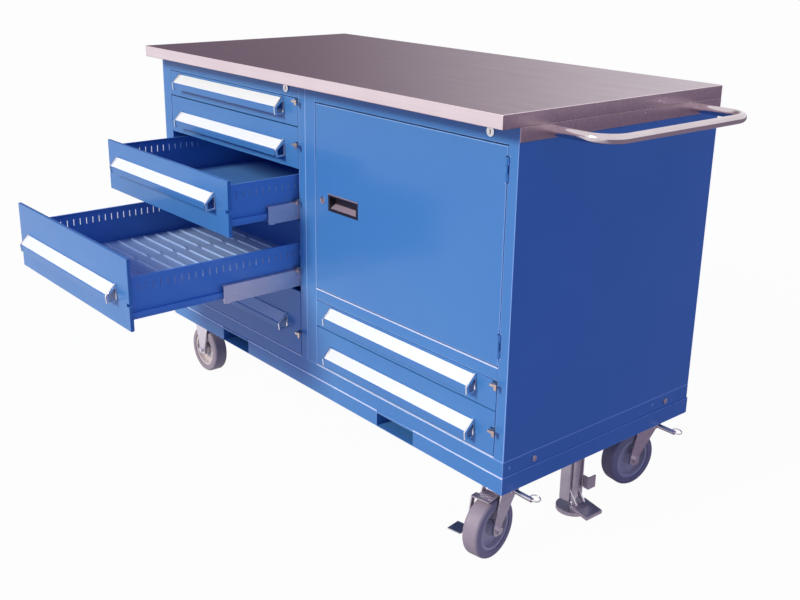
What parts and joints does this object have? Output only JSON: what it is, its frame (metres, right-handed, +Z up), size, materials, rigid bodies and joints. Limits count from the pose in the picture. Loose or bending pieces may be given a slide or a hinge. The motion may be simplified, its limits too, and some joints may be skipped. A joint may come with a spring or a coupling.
{
  "type": "modular drawer cabinet",
  "caption": "Mobile steel workshop cabinet: two blue drawer housings on a caster base under a stainless worktop, with a cupboard door, a tubular push handle, roller slides and a floor lock.",
  "frame": {"origin": "middle of the footprint, on the floor", "axes": "+X to the right of the fronts, -Y towards the user, +Z up"},
  "size_m": [1.6811, 1.2445, 1.077],
  "materials": {
    "blue": "blue powder coat",
    "blue_tray": "blue powder coat",
    "stainless": "brushed stainless sheet",
    "board": "raw chipboard edge",
    "zinc": "zinc-plated steel",
    "aluminium": "anodised extrusion",
    "polished": "polished stainless tube",
    "tyre": "grey solid rubber",
    "black": "black plastic",
    "insert": "pale blue plastic",
    "copper": "plated spring steel",
    "lock": "nickel-plated"
  },
  "bodies": {
    "cabinet": {"left_housing": "blue", "right_housing": "blue", "base_frame": "blue", "fork_channels": "blue", "worktop": "stainless", "worktop_core": "board", "end_skirt": "stainless", "push_handle": "polished", "drawer_rails": "zinc", "door_hinges": "blue", "bolts": "zinc", "caster_plates": "zinc", "rigid_forks": "zinc", "floor_lock_frame": "zinc"},
    "left_drawer_5": {"left_drawer_5": "blue_tray", "left_handle_5": "aluminium"},
    "left_carriage_5": {"left_carriage_5": "zinc"},
    "left_latch_5": {"left_latch_5": "copper"},
    "left_drawer_4": {"left_drawer_4": "blue_tray", "left_handle_4": "aluminium", "groove_trays": "insert"},
    "left_carriage_4": {"left_carriage_4": "zinc"},
    "left_latch_4": {"left_latch_4": "copper"},
    "left_drawer_3": {"left_drawer_3": "blue_tray", "left_handle_3": "aluminium"},
    "left_carriage_3": {"left_carriage_3": "zinc"},
    "left_latch_3": {"left_latch_3": "copper"},
    "left_drawer_2": {"left_drawer_2": "blue_tray", "left_handle_2": "aluminium"},
    "left_carriage_2": {"left_carriage_2": "zinc"},
    "left_latch_2": {"left_latch_2": "copper"},
    "left_drawer_1": {"left_drawer_1": "blue_tray", "left_handle_1": "aluminium"},
    "left_carriage_1": {"left_carriage_1": "zinc"},
    "left_latch_1": {"left_latch_1": "copper"},
    "right_drawer_2": {"right_drawer_2": "blue_tray", "right_handle_2": "aluminium"},
    "right_carriage_2": {"right_carriage_2": "zinc"},
    "right_latch_2": {"right_latch_2": "copper"},
    "right_drawer_1": {"right_drawer_1": "blue_tray", "right_handle_1": "aluminium"},
    "right_carriage_1": {"right_carriage_1": "zinc"},
    "right_latch_1": {"right_latch_1": "copper"},
    "door": {"door_panel": "blue", "door_pull": "black"},
    "door_lock": {"door_lock": "lock"},
    "left_key_lock": {"left_key_lock": "lock"},
    "right_key_lock": {"right_key_lock": "lock"},
    "front_swivel_fork": {"front_swivel_fork": "zinc"},
    "front_right_wheel": {"front_right_wheel": "tyre"},
    "front_left_wheel": {"front_left_wheel": "tyre"},
    "front_swivel_lock": {"front_swivel_lock": "zinc"},
    "rear_swivel_fork": {"rear_swivel_fork": "zinc"},
    "rear_right_wheel": {"rear_right_wheel": "tyre"},
    "rear_left_wheel": {"rear_left_wheel": "tyre"},
    "rear_swivel_lock": {"rear_swivel_lock": "zinc"},
    "wheel_brake": {"wheel_brake": "zinc"},
    "floor_lock_foot": {"floor_lock_foot": "zinc"},
    "floor_lock_pedal": {"floor_lock_pedal": "zinc"},
    "floor_lock_release": {"floor_lock_release": "zinc"}
  },
  "joints": [
    {"name": "left_drawer_5_slide", "type": "slide", "parent": "cabinet", "child": "left_drawer_5", "axis": [0, -1, 0], "range_m": [0, 0.61]},
    {"name": "left_carriage_5_slide", "type": "slide", "parent": "cabinet", "child": "left_carriage_5", "axis": [0, -1, 0], "range_m": [0, 0.305]},
    {"name": "left_latch_5_hinge", "type": "hinge", "parent": "cabinet", "child": "left_latch_5", "pos_m": [-0.095, -0.034, 0.349], "axis": [0, 0, -1], "range_deg": [0, 3.5], "stiffness_Nm_per_rad": 0.2, "springref_deg": -11.46},
    {"name": "left_drawer_4_slide", "type": "slide", "parent": "cabinet", "child": "left_drawer_4", "axis": [0, -1, 0], "range_m": [-0.505, 0.105]},
    {"name": "left_carriage_4_slide", "type": "slide", "parent": "cabinet", "child": "left_carriage_4", "axis": [0, -1, 0], "range_m": [-0.2525, 0.0525]},
    {"name": "left_latch_4_hinge", "type": "hinge", "parent": "cabinet", "child": "left_latch_4", "pos_m": [-0.095, -0.034, 0.539], "axis": [0, 0, -1], "range_deg": [0, 3.5], "stiffness_Nm_per_rad": 0.2, "springref_deg": -11.46},
    {"name": "left_drawer_3_slide", "type": "slide", "parent": "cabinet", "child": "left_drawer_3", "axis": [0, -1, 0], "range_m": [-0.219, 0.391]},
    {"name": "left_carriage_3_slide", "type": "slide", "parent": "cabinet", "child": "left_carriage_3", "axis": [0, -1, 0], "range_m": [-0.1095, 0.1955]},
    {"name": "left_latch_3_hinge", "type": "hinge", "parent": "cabinet", "child": "left_latch_3", "pos_m": [-0.095, -0.034, 0.729], "axis": [0, 0, -1], "range_deg": [0, 3.5], "stiffness_Nm_per_rad": 0.2, "springref_deg": -11.46},
    {"name": "left_drawer_2_slide", "type": "slide", "parent": "cabinet", "child": "left_drawer_2", "axis": [0, -1, 0], "range_m": [0, 0.61]},
    {"name": "left_carriage_2_slide", "type": "slide", "parent": "cabinet", "child": "left_carriage_2", "axis": [0, -1, 0], "range_m": [0, 0.305]},
    {"name": "left_latch_2_hinge", "type": "hinge", "parent": "cabinet", "child": "left_latch_2", "pos_m": [-0.095, -0.034, 0.881], "axis": [0, 0, -1], "range_deg": [0, 3.5], "stiffness_Nm_per_rad": 0.2, "springref_deg": -11.46},
    {"name": "left_drawer_1_slide", "type": "slide", "parent": "cabinet", "child": "left_drawer_1", "axis": [0, -1, 0], "range_m": [0, 0.61]},
    {"name": "left_carriage_1_slide", "type": "slide", "parent": "cabinet", "child": "left_carriage_1", "axis": [0, -1, 0], "range_m": [0, 0.305]},
    {"name": "left_latch_1_hinge", "type": "hinge", "parent": "cabinet", "child": "left_latch_1", "pos_m": [-0.095, -0.034, 0.995], "axis": [0, 0, -1], "range_deg": [0, 3.5], "stiffness_Nm_per_rad": 0.2, "springref_deg": -11.46},
    {"name": "right_drawer_2_slide", "type": "slide", "parent": "cabinet", "child": "right_drawer_2", "axis": [0, -1, 0], "range_m": [0, 0.61]},
    {"name": "right_carriage_2_slide", "type": "slide", "parent": "cabinet", "child": "right_carriage_2", "axis": [0, -1, 0], "range_m": [0, 0.305]},
    {"name": "right_latch_2_hinge", "type": "hinge", "parent": "cabinet", "child": "right_latch_2", "pos_m": [0.665, -0.034, 0.349], "axis": [0, 0, -1], "range_deg": [0, 3.5], "stiffness_Nm_per_rad": 0.2, "springref_deg": -11.46},
    {"name": "right_drawer_1_slide", "type": "slide", "parent": "cabinet", "child": "right_drawer_1", "axis": [0, -1, 0], "range_m": [0, 0.61]},
    {"name": "right_carriage_1_slide", "type": "slide", "parent": "cabinet", "child": "right_carriage_1", "axis": [0, -1, 0], "range_m": [0, 0.305]},
    {"name": "right_latch_1_hinge", "type": "hinge", "parent": "cabinet", "child": "right_latch_1", "pos_m": [0.665, -0.034, 0.463], "axis": [0, 0, -1], "range_deg": [0, 3.5], "stiffness_Nm_per_rad": 0.2, "springref_deg": -11.46},
    {"name": "door_swing", "type": "hinge", "parent": "cabinet", "child": "door", "pos_m": [0.65425, -0.09, 0.7545], "axis": [0, 0, 1], "range_deg": [0, 110]},
    {"name": "door_lock_turn", "type": "hinge", "parent": "door", "child": "door_lock", "pos_m": [0.001, -0.088, 0.7545], "axis": [0, 1, 0], "range_deg": [0, 90]},
    {"name": "left_key_turn", "type": "hinge", "parent": "cabinet", "child": "left_key_lock", "pos_m": [-0.158, -0.088, 1.0255], "axis": [0, 1, 0], "range_deg": [0, 90]},
    {"name": "right_key_turn", "type": "hinge", "parent": "cabinet", "child": "right_key_lock", "pos_m": [0.602, -0.088, 1.0255], "axis": [0, 1, 0], "range_deg": [0, 90]},
    {"name": "front_right_swivel", "type": "hinge", "parent": "cabinet", "child": "front_swivel_fork", "pos_m": [0.61, -0.008, 0.198], "axis": [0, 0, 1], "continuous": true},
    {"name": "front_right_roll", "type": "hinge", "parent": "front_swivel_fork", "child": "front_right_wheel", "pos_m": [0.61782, -0.05738, 0.076], "axis": [0.9877, 0.1564, 0], "continuous": true},
    {"name": "front_left_roll", "type": "hinge", "parent": "cabinet", "child": "front_left_wheel", "pos_m": [-0.76, -0.008, 0.076], "axis": [0, 1, 0], "continuous": true},
    {"name": "front_plunger", "type": "slide", "parent": "cabinet", "child": "front_swivel_lock", "axis": [1, 0, 0], "range_m": [0, 0.008], "stiffness_N_per_m": 400, "springref_m": -0.005},
    {"name": "rear_right_swivel", "type": "hinge", "parent": "cabinet", "child": "rear_swivel_fork", "pos_m": [0.61, 0.537, 0.198], "axis": [0, 0, 1], "continuous": true},
    {"name": "rear_right_roll", "type": "hinge", "parent": "rear_swivel_fork", "child": "rear_right_wheel", "pos_m": [0.60304, 0.48749, 0.076], "axis": [0.9903, -0.1392, 0], "continuous": true},
    {"name": "rear_left_roll", "type": "hinge", "parent": "cabinet", "child": "rear_left_wheel", "pos_m": [-0.76, 0.537, 0.076], "axis": [0, 1, 0], "continuous": true},
    {"name": "rear_plunger", "type": "slide", "parent": "cabinet", "child": "rear_swivel_lock", "axis": [1, 0, 0], "range_m": [0, 0.008], "stiffness_N_per_m": 400, "springref_m": -0.005},
    {"name": "brake_press", "type": "hinge", "parent": "front_swivel_fork", "child": "wheel_brake", "pos_m": [0.61469, -0.03763, 0.16], "axis": [0.9877, 0.1564, 0], "range_deg": [0, 8]},
    {"name": "floor_pedal_press", "type": "hinge", "parent": "cabinet", "child": "floor_lock_pedal", "pos_m": [0.598, 0.2645, 0.06], "axis": [0, -1, 0], "range_deg": [0, 25]},
    {"name": "floor_foot_lift", "type": "slide", "parent": "cabinet", "child": "floor_lock_foot", "axis": [0, 0, 1], "range_m": [0, 0.012]},
    {"name": "floor_release_press", "type": "hinge", "parent": "cabinet", "child": "floor_lock_release", "pos_m": [0.615, 0.2645, 0.084], "axis": [0, 1, 0], "range_deg": [0, 8], "stiffness_Nm_per_rad": 0.5, "springref_deg": -11.46}
  ],
  "couplings": [
    {"joint": "left_carriage_5_slide", "follows": "left_drawer_5_slide", "ratio": 0.5},
    {"joint": "left_carriage_4_slide", "follows": "left_drawer_4_slide", "ratio": 0.5},
    {"joint": "left_carriage_3_slide", "follows": "left_drawer_3_slide", "ratio": 0.5},
    {"joint": "left_carriage_2_slide", "follows": "left_drawer_2_slide", "ratio": 0.5},
    {"joint": "left_carriage_1_slide", "follows": "left_drawer_1_slide", "ratio": 0.5},
    {"joint": "right_carriage_2_slide", "follows": "right_drawer_2_slide", "ratio": 0.5},
    {"joint": "right_carriage_1_slide", "follows": "right_drawer_1_slide", "ratio": 0.5},
    {"joint": "floor_foot_lift", "follows": "floor_pedal_press", "m_per_rad": 0.0275}
  ]
}
